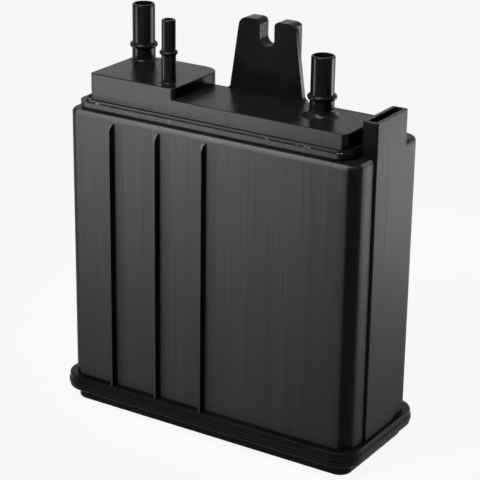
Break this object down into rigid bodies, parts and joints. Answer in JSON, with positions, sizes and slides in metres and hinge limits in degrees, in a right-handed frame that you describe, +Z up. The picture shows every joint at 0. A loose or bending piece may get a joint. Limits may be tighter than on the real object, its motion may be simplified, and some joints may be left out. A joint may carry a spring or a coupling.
{
  "type": "charcoal canister",
  "caption": "Black plastic charcoal canister for fuel vapour, a welded box with hose spigots, a slotted mounting tab and a side pocket on top.",
  "frame": {"origin": "middle of the underside, on the ground plane below the bottom cover", "axes": "+X along the canister towards the side pocket, -Y out of the finned front, +Z up along the spigots"},
  "size_m": [0.239, 0.0994, 0.2846],
  "materials": {
    "housing_plastic": "fine drawn mould texture",
    "cover_plastic": "satin",
    "screen_plastic": "matte",
    "fleece": "needled fleece",
    "carbon": "packed granules",
    "spring_steel": "bright drawn wire"
  },
  "bodies": {
    "root": {"housing": "housing_plastic", "top_cover": "cover_plastic", "bottom_cover": "housing_plastic", "main_grid": "screen_plastic", "vent_grid": "screen_plastic", "main_upper_fleece": "fleece", "vent_upper_fleece": "fleece", "main_carbon_bed": "carbon", "vent_carbon_bed": "carbon", "main_lower_fleece": "fleece", "vent_lower_fleece": "fleece", "main_plate": "screen_plastic", "vent_plate": "screen_plastic", "main_spring_left": "spring_steel", "main_spring_right": "spring_steel", "vent_spring": "spring_steel"}
  },
  "joints": []
}
